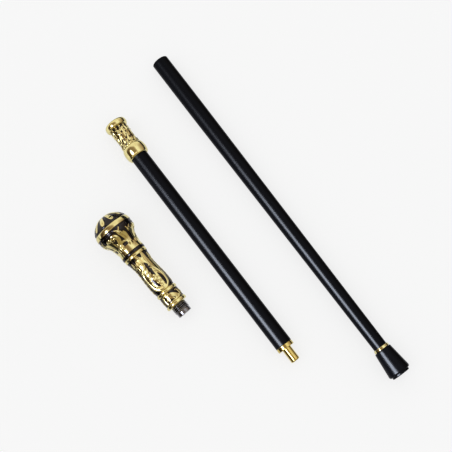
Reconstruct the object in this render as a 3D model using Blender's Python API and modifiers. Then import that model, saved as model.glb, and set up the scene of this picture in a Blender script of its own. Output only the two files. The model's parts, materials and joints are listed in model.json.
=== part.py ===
"""A walking cane that unscrews into three sections, lying taken apart on a level surface.

Metres, +Z up. The lower section lies along X with its foot at -X. The upper section and the
handle lie beside it, on its +Y side. Every section is built upright on an empty, from its own
lower end at z = 0, and the empty lays it down so that it rests on its two widest places.
"""

import math

import bmesh
import bpy
from mathutils import Euler

# Fits
GAP = 0.0003                  # between two pieces that touch
THREAD_CLEARANCE = 0.0002     # between a stud's crest and the bore that takes it
BORE_RUN_OUT = 0.0012         # depth of a socket beyond the end of its stud
FLAT_DEPTH = 0.0004           # how deep the small flat spots are that stop a section rolling

# Shafts
SHAFT_R = 0.0100              # where the sections meet
SHAFT_FOOT_R = 0.0079         # at the ferrule's ring
UPPER_SHAFT_SHOWN = 0.2715    # between the collar and the brass ring
LOWER_SHAFT_SHOWN = 0.4202    # from the top rim to the ferrule's ring
STRAIGHT_TOP = 0.075          # length of the lower shaft below its rim that doesn't taper
SHAFT_EDGE = 0.0008           # rounding of the shafts' rims

# Ferrule and its ring
FERRULE_TOP_R = 0.0101
FERRULE_FOOT_R = 0.0131
FERRULE_HEIGHT = 0.0308       # the cone with its rounded foot edge
FERRULE_ROUND = 0.0022
FERRULE_SEAT = 0.0200         # how far the shaft goes into it
TIP_R = 0.01055
TIP_HEIGHT = 0.0023
FERRULE_RING_HEIGHT = 0.0033
FERRULE_RING_TOP_R = 0.0090
FERRULE_RING_FOOT_R = 0.0094

# Brass fitting at the upper shaft's lower end
JOINT_RING_HEIGHT = 0.0045
JOINT_STUD_R = 0.0053
JOINT_STUD_LENGTH = 0.0169
JOINT_STUD_ROUND = 0.0018
SPIGOT_R = 0.0045
SPIGOT_LENGTH = 0.0120

# Collar
COLLAR_BODY_R = 0.0107
COLLAR_BODY_HEIGHT = 0.0240   # the band with the scrollwork
COLLAR_TOP_RING_R = 0.01355
COLLAR_TOP_RING_HEIGHT = 0.0079
COLLAR_RIM_R = 0.0115         # the flat rim that the handle's shoulder seats on ends here
COLLAR_GROOVE_R = 0.0104      # black groove under the top ring
COLLAR_GROOVE_HEIGHT = 0.0032
COLLAR_BULGE_R = 0.01365      # large polished ring at the collar's foot
COLLAR_BULGE_HEIGHT = 0.0152
COLLAR_BULGE_FOOT_R = 0.0113
COLLAR_SEAT = 0.0140          # how far the shaft goes into it
SCROLL_COUNT = 6
SCROLL_DEPTH = 0.0004         # the scrolls stand out, and the ground between them lies back, this much

# Stud of the handle
HANDLE_STUD_R = 0.0092
HANDLE_STUD_PITCH = 0.0020
HANDLE_THREAD_DEPTH = 0.0008
HANDLE_THREAD_LENGTH = 0.0084
PILOT_R = 0.0083
PILOT_LENGTH = 0.0046
SHANK_R = 0.0070
SHANK_LENGTH = 0.0090

# Handle, from its shoulder up
END_RING_R = 0.01295
END_RING_HEIGHT = 0.0042
CUFF_R = 0.0119
CUFF_HEIGHT = 0.0124
MID_RING_R = 0.0131
MID_RING_HEIGHT = 0.0040
GRIP_FOOT_R = 0.0118
GRIP_SWELL_R = 0.0128
GRIP_WAIST_R = 0.0117
GRIP_TOP_R = 0.0142
GRIP_FOOT_TO_SWELL = 0.0130
GRIP_SWELL_TO_WAIST = 0.0215
GRIP_WAIST_TO_TOP = 0.0141
BEAD_R = 0.0145
BEAD_HEIGHT = 0.0040
ROLL_R = 0.0150
ROLL_HEIGHT = 0.0042
NECK_LIP_R = 0.0150
NECK_R = 0.01436
NECK_LIP_TO_NECK = 0.0071
NECK_TO_EQUATOR = 0.0237
KNOB_R = 0.0230
CROWN_RISE = 0.0206           # from the knob's widest circle to its pole
RING_GROOVE = 0.0008          # depth of the grooves beside the handle's rings

# Carving on the handle
PETAL_COUNT = 10
PETAL_TURN = math.radians(-19.0)
PETAL_DEPTH = 0.0006
PETAL_FOOT_RISE = 0.0084      # height of the petals' rounded feet above the widest circle
BAND_LOW_RISE = -0.0002       # the smooth band runs between these heights above that circle
BAND_HIGH_RISE = 0.0054
BAND_DEPTH = 0.0004
LEAF_DEPTH = 0.0009
LEAF_TIP_DROP = 0.0042        # the leaves' tips below the widest circle
LEAF_ROOT_RISE = 0.0032       # the leaves' roots above the neck
MEDALLION_HALF_ANGLE = math.radians(48)
MEDALLION_DEPTH = 0.0006
MEDALLION_RIM = 0.3           # the frame's share of the medallion's half-width

# Layout on the surface
SECTION_GAP = 0.0643          # clear space between the lower and the upper section
HANDLE_GAP = 0.0410           # clear space between the upper section and the knob
UPPER_TURN = math.radians(0.89)
HANDLE_TURN = math.radians(5.27)
UPPER_FOOT_INSET = 0.0796     # the upper section's lower end in from the lower section's foot
HANDLE_FOOT_INSET = 0.1933    # the handle's lower end in from the same place

# Sides of the turned shapes
ROUND_SIDES = 24
COLLAR_SIDES = 36
THREAD_SIDES = 20
HANDLE_SIDES = 50             # five to each petal
RING_STEPS = 3                # across the outline of each ring on the handle


def ease(share):
    """A smooth step from 0 to 1."""
    share = min(1.0, max(0.0, share))
    return 0.5 - 0.5 * math.cos(math.pi * share)


def bump(distance, half_width):
    """1 on the centre line of a rounded ridge, and 0 from its edge outwards."""
    share = abs(distance) / half_width
    return 0.0 if share >= 1 else 1 - share * share


def arc(z_low, z_high, r_edge, r_middle, steps):
    """The outline of a rounded ring, from its top edge down to its lower edge."""
    middle = (z_low + z_high) / 2
    half = (z_high - z_low) / 2
    points = []
    for step in range(steps + 1):
        turn = math.pi * step / steps
        points.append((r_edge + (r_middle - r_edge) * math.sin(turn), middle + half * math.cos(turn)))
    return points


def collection_named(name):
    collection = bpy.data.collections.new(name)
    bpy.context.scene.collection.children.link(collection)
    return collection


def material_of(name, colour, roughness, metallic):
    material = bpy.data.materials.new(name)
    material.use_nodes = True
    shader = material.node_tree.nodes["Principled BSDF"]
    shader.inputs["Base Color"].default_value = (*colour, 1)
    shader.inputs["Roughness"].default_value = roughness
    shader.inputs["Metallic"].default_value = metallic
    return material


def turned(name, outline, sides, parts, section, height, material):
    """A shape turned about Z. Its outline holds (radius, z) points and runs down the outer side."""
    mesh = bpy.data.meshes.new(name)
    points = [(radius, 0, z) for radius, z in outline]
    closed = outline[0][0] > 0
    edges = [(i, i + 1) for i in range(len(points) - 1)]
    if closed:
        edges.append((len(points) - 1, 0))
    mesh.from_pydata(points, edges, [])
    piece = bpy.data.objects.new(name, mesh)
    parts.objects.link(piece)
    screw = piece.modifiers.new("turned", "SCREW")
    screw.axis = "Z"
    screw.angle = math.tau
    screw.steps = sides
    screw.render_steps = sides
    screw.use_merge_vertices = True
    screw.merge_threshold = 0.00001
    piece.parent = section
    piece.location = (0, 0, height)
    mesh.materials.append(material)
    return piece


def carve(piece, relief):
    """Makes the turned shape a mesh and moves its points out or in by relief(angle, radius, z).

    The angle is counted from the side that lies uppermost, and grows towards -Y.
    """
    graph = bpy.context.evaluated_depsgraph_get()
    mesh = bpy.data.meshes.new_from_object(piece.evaluated_get(graph))
    piece.modifiers.clear()
    piece.data = mesh
    shape = bmesh.new()
    shape.from_mesh(mesh)
    shape.normal_update()
    moves = []
    for vertex in shape.verts:
        x, y, z = vertex.co
        angle = math.atan2(-y, -x)
        moves.append(vertex.normal * relief(angle, math.hypot(x, y), z))
    for vertex, move in zip(shape.verts, moves):
        vertex.co += move
    bmesh.ops.triangulate(shape, faces=shape.faces)
    shape.to_mesh(mesh)
    shape.free()
    return piece


def slope_between(r_low, z_low, r_high, z_high):
    """How far a section's axis rises towards its top when it rests on these two circles."""
    return math.atan2(r_high - r_low, z_high - z_low)


def laid_down(name, parts, rest_r, rest_z, slope, turn, x, y):
    """The empty of a section that rests on its circle of radius rest_r at rest_z along its axis."""
    section = bpy.data.objects.new(name, None)
    parts.objects.link(section)
    height = rest_r * math.cos(slope) - FLAT_DEPTH - rest_z * math.sin(slope)
    section.location = (x, y, height)
    section.rotation_euler = Euler((0, math.pi / 2 - slope, turn), "XYZ")
    return section


def cut_flat(pieces, floor):
    """Cuts each piece flat where it meets the surface that it lies on."""
    for piece in pieces:
        cut = piece.modifiers.new("flat spot", "BOOLEAN")
        cut.operation = "DIFFERENCE"
        cut.object = floor
        cut.solver = "EXACT"


# Lower section

def lower_shaft_radius(depth):
    """The lower shaft's radius at this depth below its top rim."""
    share = max(0.0, depth - STRAIGHT_TOP) / (LOWER_SHAFT_SHOWN - STRAIGHT_TOP)
    return SHAFT_R + (SHAFT_FOOT_R - SHAFT_R) * share


def lower_shaft_outline():
    length = LOWER_SHAFT_SHOWN + FERRULE_RING_HEIGHT + 2 * GAP + FERRULE_SEAT
    bore_r = JOINT_STUD_R + THREAD_CLEARANCE
    bore_floor = length - JOINT_STUD_LENGTH - BORE_RUN_OUT
    foot_r = lower_shaft_radius(length)
    return [
        (0, bore_floor),
        (bore_r, bore_floor),
        (bore_r, length - SHAFT_EDGE),
        (bore_r + SHAFT_EDGE, length),
        (SHAFT_R - SHAFT_EDGE, length),
        (SHAFT_R, length - SHAFT_EDGE),
        (SHAFT_R, length - STRAIGHT_TOP),
        (lower_shaft_radius(LOWER_SHAFT_SHOWN), length - LOWER_SHAFT_SHOWN),
        (foot_r, SHAFT_EDGE),
        (foot_r - SHAFT_EDGE, 0),
        (0, 0),
    ]


def ferrule_ring_outline():
    bore_r = lower_shaft_radius(LOWER_SHAFT_SHOWN) + GAP
    edge = GAP
    return [
        (bore_r, FERRULE_RING_HEIGHT),
        (FERRULE_RING_TOP_R - edge, FERRULE_RING_HEIGHT),
        (FERRULE_RING_TOP_R, FERRULE_RING_HEIGHT - edge),
        (FERRULE_RING_FOOT_R, edge),
        (FERRULE_RING_FOOT_R - edge, 0),
        (bore_r, 0),
    ]


def ferrule_outline():
    top = TIP_HEIGHT + FERRULE_HEIGHT
    bore_r = lower_shaft_radius(LOWER_SHAFT_SHOWN) + GAP
    seat = top - FERRULE_SEAT - GAP
    round_centre_r = FERRULE_FOOT_R - FERRULE_ROUND
    outline = [(0, seat), (bore_r, seat), (bore_r, top), (FERRULE_TOP_R - SHAFT_EDGE, top)]
    outline.append((FERRULE_TOP_R, top - SHAFT_EDGE))
    steps = 3
    for step in range(steps + 1):
        turn = 0.5 * math.pi * step / steps
        radius = round_centre_r + FERRULE_ROUND * math.cos(turn)
        outline.append((radius, TIP_HEIGHT + FERRULE_ROUND * (1 - math.sin(turn))))
    outline += [(TIP_R, TIP_HEIGHT), (TIP_R, SHAFT_EDGE), (TIP_R - SHAFT_EDGE, 0), (0, 0)]
    return outline


# Upper section

def joint_fitting_outline():
    ring_low = JOINT_STUD_LENGTH
    ring_top = ring_low + JOINT_RING_HEIGHT
    edge = GAP
    outline = [
        (0, ring_top + SPIGOT_LENGTH),
        (SPIGOT_R, ring_top + SPIGOT_LENGTH),
        (SPIGOT_R, ring_top),
        (SHAFT_R - edge, ring_top),
        (SHAFT_R, ring_top - edge),
        (SHAFT_R, ring_low + edge),
        (SHAFT_R - edge, ring_low),
        (JOINT_STUD_R, ring_low),
    ]
    steps = 2
    for step in range(steps + 1):
        turn = 0.5 * math.pi * step / steps
        radius = JOINT_STUD_R - JOINT_STUD_ROUND * (1 - math.cos(turn))
        outline.append((radius, JOINT_STUD_ROUND * (1 - math.sin(turn))))
    outline.append((0, 0))
    return outline


def upper_shaft_outline():
    length = UPPER_SHAFT_SHOWN + COLLAR_SEAT
    bore_r = SPIGOT_R + GAP
    bore_top = SPIGOT_LENGTH + 2 * GAP
    return [
        (0, length),
        (SHAFT_R - SHAFT_EDGE, length),
        (SHAFT_R, length - SHAFT_EDGE),
        (SHAFT_R, UPPER_SHAFT_SHOWN / 2),
        (SHAFT_R, 0),
        (bore_r, 0),
        (bore_r, bore_top),
        (0, bore_top),
    ]


def collar_heights():
    """The heights of the collar's foot bulge, scrollwork and groove, and its whole height."""
    bulge_top = COLLAR_BULGE_HEIGHT
    body_top = bulge_top + COLLAR_BODY_HEIGHT
    ring_low = body_top + COLLAR_GROOVE_HEIGHT
    return bulge_top, body_top, ring_low, ring_low + COLLAR_TOP_RING_HEIGHT


def collar_outline():
    bulge_top, body_top, ring_low, top = collar_heights()
    mouth_r = HANDLE_STUD_R + THREAD_CLEARANCE
    mouth_floor = top - HANDLE_THREAD_LENGTH - PILOT_LENGTH - BORE_RUN_OUT
    seat_r = SHAFT_R + GAP
    outline = [(0, mouth_floor), (mouth_r, mouth_floor), (mouth_r, top - SHAFT_EDGE)]
    outline.append((mouth_r + SHAFT_EDGE, top))
    outline += arc(ring_low, top, COLLAR_RIM_R, COLLAR_TOP_RING_R, 6)
    outline += [(COLLAR_GROOVE_R, ring_low), (COLLAR_GROOVE_R, body_top)]
    steps = 9
    for step in range(steps + 1):
        outline.append((COLLAR_BODY_R, body_top - (body_top - bulge_top) * step / steps))
    bulge = arc(0, bulge_top, COLLAR_BULGE_FOOT_R, COLLAR_BULGE_R, 7)
    outline += bulge[1:]
    outline += [(seat_r, 0), (seat_r, COLLAR_SEAT + GAP), (0, COLLAR_SEAT + GAP)]
    return outline


def collar_relief(angle, radius, z):
    """S-shaped scrolls side by side round the collar's body."""
    bulge_top, body_top, _, _ = collar_heights()
    if radius < COLLAR_BODY_R - GAP or not bulge_top < z < body_top:
        return 0.0
    rise = (z - bulge_top) / COLLAR_BODY_HEIGHT
    pitch = math.tau / SCROLL_COUNT
    swing = 0.25 * math.sin(math.tau * rise)
    share = (angle / pitch - swing) % 1.0 - 0.5
    return SCROLL_DEPTH * (2 * bump(share, 0.34) - 1)


# Handle section

def handle_stud_outline():
    thread_top = PILOT_LENGTH + HANDLE_THREAD_LENGTH
    root_r = HANDLE_STUD_R - HANDLE_THREAD_DEPTH / 2
    outline = [(0, thread_top + GAP + SHANK_LENGTH), (SHANK_R, thread_top + GAP + SHANK_LENGTH)]
    outline += [(SHANK_R, thread_top), (root_r, thread_top)]
    rows = round(4 * HANDLE_THREAD_LENGTH / HANDLE_STUD_PITCH)
    for row in range(1, rows + 1):
        outline.append((root_r, thread_top - HANDLE_THREAD_LENGTH * row / rows))
    outline += [(PILOT_R, PILOT_LENGTH - SHAFT_EDGE), (PILOT_R, SHAFT_EDGE), (PILOT_R - SHAFT_EDGE, 0), (0, 0)]
    return outline


def handle_thread(angle, radius, z):
    """A helical ridge on the stud, which runs out at both ends of the thread."""
    thread_top = PILOT_LENGTH + HANDLE_THREAD_LENGTH
    if radius < PILOT_R + GAP / 3 or z < PILOT_LENGTH - GAP / 3:
        return 0.0
    turn = (z / HANDLE_STUD_PITCH - angle / math.tau) % 1.0
    ridge = 1 - 2 * abs(2 * turn - 1)
    run_out = min(1.0, (z - PILOT_LENGTH) / HANDLE_STUD_PITCH, (thread_top - z) / HANDLE_STUD_PITCH)
    return 0.5 * HANDLE_THREAD_DEPTH * ridge * max(0.0, run_out)


def handle_heights():
    """The heights above the handle's shoulder at which its rings and swellings start."""
    cuff = END_RING_HEIGHT
    mid_ring = cuff + CUFF_HEIGHT
    grip = mid_ring + MID_RING_HEIGHT
    swell = grip + GRIP_FOOT_TO_SWELL
    waist = swell + GRIP_SWELL_TO_WAIST
    bead = waist + GRIP_WAIST_TO_TOP
    roll = bead + BEAD_HEIGHT
    lip = roll + ROLL_HEIGHT
    neck = lip + NECK_LIP_TO_NECK
    equator = neck + NECK_TO_EQUATOR
    return {
        "cuff": cuff, "mid_ring": mid_ring, "grip": grip, "swell": swell, "waist": waist,
        "bead": bead, "roll": roll, "lip": lip, "neck": neck, "equator": equator,
        "pole": equator + CROWN_RISE,
    }


def grip_radius(z, at):
    """The grip narrows from its top to a waist, swells below it and draws in to its foot."""
    if z >= at["waist"]:
        share = (z - at["waist"]) / GRIP_WAIST_TO_TOP
        return GRIP_WAIST_R + (GRIP_TOP_R - GRIP_WAIST_R) * share * share
    if z >= at["swell"]:
        share = (z - at["swell"]) / GRIP_SWELL_TO_WAIST
        return GRIP_SWELL_R + (GRIP_WAIST_R - GRIP_SWELL_R) * ease(share)
    share = (at["swell"] - z) / GRIP_FOOT_TO_SWELL
    return GRIP_SWELL_R + (GRIP_FOOT_R - GRIP_SWELL_R) * share * share


def knob_radius(z, at):
    """An ellipse over the widest circle, and an S-curve below it that ends in the flaring neck."""
    if z >= at["equator"]:
        rise = min(1.0, (z - at["equator"]) / CROWN_RISE)
        return KNOB_R * math.sqrt(1 - rise * rise)
    if z >= at["neck"]:
        return NECK_R + (KNOB_R - NECK_R) * ease((z - at["neck"]) / NECK_TO_EQUATOR)
    share = (at["neck"] - z) / NECK_LIP_TO_NECK
    return NECK_R + (NECK_LIP_R - NECK_R) * share * share


def handle_outline():
    at = handle_heights()
    outline = [(0, at["pole"])]
    rises = [math.cos(math.radians(turn)) for turn in (12, 24, 37, 50)]
    heights = [at["equator"] + CROWN_RISE * rise for rise in rises]
    petal_foot = at["equator"] + PETAL_FOOT_RISE
    band_low = at["equator"] + BAND_LOW_RISE
    band_high = at["equator"] + BAND_HIGH_RISE
    heights += [petal_foot + RING_GROOVE, petal_foot - RING_GROOVE, band_high + RING_GROOVE / 2, band_high]
    heights += [(band_high + band_low) / 2, band_low, band_low - RING_GROOVE / 2]
    leaf_rows = 8
    for row in range(1, leaf_rows + 1):
        heights.append(at["equator"] - NECK_TO_EQUATOR * row / leaf_rows)
    heights += [(at["neck"] + at["lip"]) / 2, at["lip"]]
    outline += [(knob_radius(z, at), z) for z in heights]
    outline += arc(at["roll"], at["lip"], ROLL_R - RING_GROOVE, ROLL_R, RING_STEPS)[1:]
    outline += arc(at["bead"], at["roll"], BEAD_R - RING_GROOVE, BEAD_R, RING_STEPS)[1:]
    grip_rows = 11
    grip_height = at["bead"] - at["grip"]
    for row in range(1, grip_rows + 1):
        z = at["bead"] - grip_height * row / grip_rows
        outline.append((grip_radius(z, at), z))
    outline += arc(at["mid_ring"], at["grip"], CUFF_R, MID_RING_R, RING_STEPS)[1:]
    cuff_rows = 3
    for row in range(1, cuff_rows + 1):
        outline.append((CUFF_R, at["mid_ring"] - CUFF_HEIGHT * row / cuff_rows))
    outline += arc(0, END_RING_HEIGHT, CUFF_R, END_RING_R, RING_STEPS)[1:]
    seat_top = SHANK_LENGTH + 2 * GAP
    mouth_r = HANDLE_STUD_R + THREAD_CLEARANCE
    outline += [(mouth_r, 0), (SHANK_R + GAP, mouth_r - SHANK_R - GAP), (SHANK_R + GAP, seat_top), (0, seat_top)]
    return outline


def handle_relief(angle, radius, z):
    """How far the handle's carving stands out of, or lies below, its turned outline."""
    at = handle_heights()
    if z > at["equator"] + BAND_LOW_RISE - RING_GROOVE:
        return crown_relief(angle, radius, z, at)
    if z > at["neck"]:
        return leaf_relief(angle, z, at)
    if at["grip"] < z < at["bead"] - RING_GROOVE and radius > SHANK_R + 2 * GAP:
        return grip_relief(angle, z, at)
    return 0.0


def crown_relief(angle, radius, z, at):
    """Petals round the crown, and a smooth band with a sunk line on either side."""
    rise = z - at["equator"]
    if BAND_LOW_RISE - GAP / 3 <= rise <= BAND_HIGH_RISE + GAP / 3:
        return 0.0
    if rise < PETAL_FOOT_RISE or radius < PETAL_DEPTH:
        return -BAND_DEPTH
    pitch = math.tau / PETAL_COUNT
    share = ((angle - PETAL_TURN) / pitch + 0.5) % 1.0 - 0.5
    return -PETAL_DEPTH + 2 * PETAL_DEPTH * bump(share, 0.38)


def leaf_relief(angle, z, at):
    """Leaves that rise from the neck round the knob's underside, each with a hollow midrib."""
    root = at["neck"] + LEAF_ROOT_RISE
    tip = at["equator"] - LEAF_TIP_DROP
    if z > tip + RING_GROOVE:
        return -BAND_DEPTH
    if z < root:
        return 0.0
    pitch = math.tau / PETAL_COUNT
    share = ((angle - PETAL_TURN) / pitch + 0.5) % 1.0 - 0.5
    growth = (z - root) / (tip - root)
    blade = bump(abs(share) - 0.06 - 0.16 * ease(growth), 0.18)
    return LEAF_DEPTH * (1.9 * blade * (1 - growth ** 4) - 0.7) * ease((z - root) / LEAF_ROOT_RISE)


def grip_relief(angle, z, at):
    """A framed almond-shaped medallion on the upper side and another on the lower side."""
    foot = at["grip"]
    top = at["bead"] - GRIP_WAIST_TO_TOP * 0.9
    share = (z - foot) / (top - foot)
    if not 0 < share < 1:
        return MEDALLION_DEPTH * 0.6 * math.cos(5 * angle)
    half = MEDALLION_HALF_ANGLE * math.sin(math.pi * share ** 0.8) ** 0.7
    off = abs(math.remainder(angle, math.pi))
    if off > half:
        return 0.0
    inside = off / half
    frame = bump(inside - 1 + MEDALLION_RIM, MEDALLION_RIM)
    scrolls = 0.5 * math.cos(5 * math.pi * share) * bump(inside, 1 - MEDALLION_RIM)
    return MEDALLION_DEPTH * (frame + scrolls - 0.3)


def build():
    for old in list(bpy.data.objects):
        bpy.data.objects.remove(old)
    parts = collection_named("walking cane")
    cutters = collection_named("cutters")

    gilt = material_of("gilded casting", (0.66, 0.50, 0.18), 0.22, 1.0)
    plated = material_of("blackened plated steel", (0.32, 0.32, 0.34), 0.2, 1.0)
    brass = material_of("turned brass", (0.72, 0.47, 0.14), 0.25, 1.0)
    lacquer = material_of("black lacquered beech", (0.006, 0.006, 0.009), 0.18, 0.0)
    moulded = material_of("black moulded ferrule", (0.008, 0.008, 0.010), 0.25, 0.0)

    # Where each section rests, along its own axis from its lower end
    lower_top = TIP_HEIGHT + FERRULE_HEIGHT + FERRULE_RING_HEIGHT + 2 * GAP + LOWER_SHAFT_SHOWN
    ferrule_rest = TIP_HEIGHT + FERRULE_ROUND
    lower_slope = slope_between(FERRULE_FOOT_R, ferrule_rest, SHAFT_R, lower_top - SHAFT_EDGE)

    ring_low = JOINT_STUD_LENGTH
    shaft_low = ring_low + JOINT_RING_HEIGHT + GAP
    collar_low = shaft_low + UPPER_SHAFT_SHOWN
    bulge_rest = collar_low + COLLAR_BULGE_HEIGHT / 2
    upper_slope = slope_between(SHAFT_R, ring_low, COLLAR_BULGE_R, bulge_rest)

    shoulder = PILOT_LENGTH + HANDLE_THREAD_LENGTH + GAP
    at = handle_heights()
    end_ring_rest = shoulder + END_RING_HEIGHT / 2
    knob_rest = shoulder + at["equator"]
    handle_slope = slope_between(END_RING_R, end_ring_rest, KNOB_R, knob_rest)

    # The three sections side by side, centred on the origin
    lower_y = FERRULE_FOOT_R
    upper_y = lower_y + SHAFT_R + SECTION_GAP + COLLAR_BULGE_R
    knob_y = upper_y + SHAFT_R + HANDLE_GAP + KNOB_R
    middle_y = (knob_y + KNOB_R) / 2
    foot_x = -lower_top / 2
    upper_foot_y = upper_y - collar_low * math.sin(UPPER_TURN)
    handle_foot_y = knob_y - knob_rest * math.sin(HANDLE_TURN)

    lower = laid_down("lower section", parts, FERRULE_FOOT_R, ferrule_rest, lower_slope, 0.0,
                      foot_x, lower_y - middle_y)
    upper = laid_down("upper section", parts, SHAFT_R, ring_low, upper_slope, UPPER_TURN,
                      foot_x + UPPER_FOOT_INSET, upper_foot_y - middle_y)
    handle = laid_down("handle section", parts, END_RING_R, end_ring_rest, handle_slope, HANDLE_TURN,
                       foot_x + HANDLE_FOOT_INSET, handle_foot_y - middle_y)

    shaft_height = TIP_HEIGHT + FERRULE_HEIGHT - FERRULE_SEAT
    ring_height = TIP_HEIGHT + FERRULE_HEIGHT + GAP
    ferrule = turned("ferrule", ferrule_outline(), ROUND_SIDES, parts, lower, 0, moulded)
    turned("ferrule_ring", ferrule_ring_outline(), ROUND_SIDES, parts, lower, ring_height, gilt)
    lower_shaft = turned("lower_shaft", lower_shaft_outline(), ROUND_SIDES, parts, lower, shaft_height, lacquer)

    fitting = turned("joint_fitting", joint_fitting_outline(), ROUND_SIDES, parts, upper, 0, brass)
    upper_shaft = turned("upper_shaft", upper_shaft_outline(), ROUND_SIDES, parts, upper, shaft_low, lacquer)
    collar = turned("collar", collar_outline(), COLLAR_SIDES, parts, upper, collar_low, gilt)
    carve(collar, collar_relief)

    stud = turned("handle_stud", handle_stud_outline(), THREAD_SIDES, parts, handle, 0, plated)
    carve(stud, handle_thread)
    grip = turned("handle", handle_outline(), HANDLE_SIDES, parts, handle, shoulder, gilt)
    carve(grip, handle_relief)

    bpy.ops.mesh.primitive_cube_add(size=1)
    floor = bpy.context.object
    floor.name = "resting surface"
    floor.scale = (2 * lower_top, 2 * lower_top, lower_top)
    floor.location = (0, 0, -lower_top / 2)
    for home in list(floor.users_collection):
        home.objects.unlink(floor)
    cutters.objects.link(floor)
    floor.hide_render = True
    floor.display_type = "WIRE"
    cut_flat([ferrule, lower_shaft, fitting, upper_shaft, collar, grip], floor)


build()
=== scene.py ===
"""Dresses a walking cane that lies unscrewed in three sections.

Its castings are gilded over a black ground, its shafts are lacquered black and its studs are threaded.

Metres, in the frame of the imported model. Each piece is turned upright about Z from its section's lower
end, gets its carving by moving its points, and is then laid down onto its section's axis.
Ornament is drawn with strokes in degrees round a piece, counted from its upper side towards -Y, and in
millimetres up its axis.
"""

import json
import math

import bmesh
import bpy
import numpy
from mathutils import Matrix, Vector


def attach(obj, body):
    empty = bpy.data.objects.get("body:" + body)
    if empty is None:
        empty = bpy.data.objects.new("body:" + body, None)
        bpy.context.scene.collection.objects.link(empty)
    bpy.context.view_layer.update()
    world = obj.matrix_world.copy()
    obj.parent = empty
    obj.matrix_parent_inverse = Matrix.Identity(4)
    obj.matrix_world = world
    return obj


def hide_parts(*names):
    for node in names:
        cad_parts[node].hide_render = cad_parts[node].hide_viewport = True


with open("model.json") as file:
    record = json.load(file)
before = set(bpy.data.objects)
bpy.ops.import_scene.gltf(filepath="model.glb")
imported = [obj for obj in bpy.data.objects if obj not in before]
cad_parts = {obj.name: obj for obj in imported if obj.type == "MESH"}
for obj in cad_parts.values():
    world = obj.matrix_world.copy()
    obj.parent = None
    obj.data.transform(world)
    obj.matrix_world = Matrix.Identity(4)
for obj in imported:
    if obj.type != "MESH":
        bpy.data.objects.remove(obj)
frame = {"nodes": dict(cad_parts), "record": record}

bl_info = {
    "name": "Walking cane",
    "version": (1, 0, 0),
    "blender": (4, 5, 0),
    "location": "3D View > Sidebar > Cane",
    "description": "Makes the pieces, finishes and stage of a walking cane in three sections",
    "category": "Add Mesh",
}

MM = 0.001
GAP = 0.0003                  # between two pieces that touch
THREAD_CLEARANCE = 0.0002     # between a stud's crest and the bore that takes it
BORE_RUN_OUT = 0.0012         # how much deeper a bore is than its stud is long
IMAGE_SIDE = 452              # pixels, both ways
FOCAL_PIXELS = 900
SENSOR_MM = 36.0
CONTRAST = 0.8                # below 1 deepens the dark tones, as the photograph does


def length(description, default):
    """A size in metres for a group of properties."""
    return bpy.props.FloatProperty(
        description=description, default=default, min=0.0, precision=5, unit="LENGTH", subtype="DISTANCE"
    )


def tint(description, default):
    """A colour for a group of properties, given as an sRGB hex value and held as linear light."""
    return bpy.props.FloatVectorProperty(
        description=description, default=linear(default), size=3, min=0.0, max=1.0, subtype="COLOR"
    )


def linear(code):
    """The linear red, green and blue of an sRGB hex value such as E1CF8E."""
    parts = [int(code[at:at + 2], 16) / 255 for at in (0, 2, 4)]
    return tuple(p / 12.92 if p <= 0.04045 else ((p + 0.055) / 1.055) ** 2.4 for p in parts)


class CaneShaftSizes(bpy.types.PropertyGroup):
    radius: length("Radius of the shafts where the sections meet", 0.0100)
    foot_radius: length("Radius of the lower shaft at the ferrule's ring", 0.0079)
    upper_shown: length("Length that shows between the collar and the brass ring", 0.2715)
    lower_shown: length("Length that shows from the top rim to the ferrule's ring", 0.4202)
    straight_top: length("Length of the lower shaft below its rim that doesn't taper", 0.075)
    edge: length("Rounding of the shafts' rims", 0.0008)
    stud_radius: length("Crest radius of the brass stud", 0.0053)
    stud_length: length("Length of the brass stud", 0.0169)
    stud_pitch: length("Pitch of the brass stud's thread", 0.0010)
    joint_ring: length("Height of the brass ring above the stud", 0.0045)
    spigot_radius: length("Radius of the pin inside the upper shaft", 0.0045)
    spigot_length: length("Length of the pin inside the upper shaft", 0.0120)


class CaneFerruleSizes(bpy.types.PropertyGroup):
    top_radius: length("Radius of the ferrule under its ring", 0.0101)
    foot_radius: length("Largest radius of the ferrule", 0.0131)
    height: length("Height of the ferrule's cone", 0.0308)
    rounding: length("Rounding of the cone's lower edge", 0.0022)
    seat: length("How far the shaft goes into the ferrule", 0.0200)
    tip_radius: length("Radius of the narrower tip", 0.01055)
    tip_height: length("Height of the narrower tip", 0.0023)
    ring_height: length("Height of the gilded ring on the ferrule", 0.0033)
    ring_top_radius: length("Radius of the gilded ring at its top", 0.0090)
    ring_foot_radius: length("Radius of the gilded ring at its foot", 0.0094)


class CaneCollarSizes(bpy.types.PropertyGroup):
    bulge_radius: length("Radius of the polished bulge at the collar's foot", 0.01365)
    bulge_height: length("Height of the polished bulge", 0.0152)
    bulge_foot_radius: length("Radius at both ends of the bulge", 0.0113)
    body_radius: length("Radius of the band with the scrollwork", 0.0107)
    body_height: length("Height of the band with the scrollwork", 0.0240)
    groove_radius: length("Radius of the black groove", 0.0104)
    groove_height: length("Height of the black groove", 0.0032)
    ring_radius: length("Radius of the polished top ring", 0.01355)
    ring_height: length("Height of the polished top ring", 0.0079)
    rim_radius: length("Outer radius of the flat rim", 0.0115)
    seat: length("How far the shaft goes into the collar", 0.0140)


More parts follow.
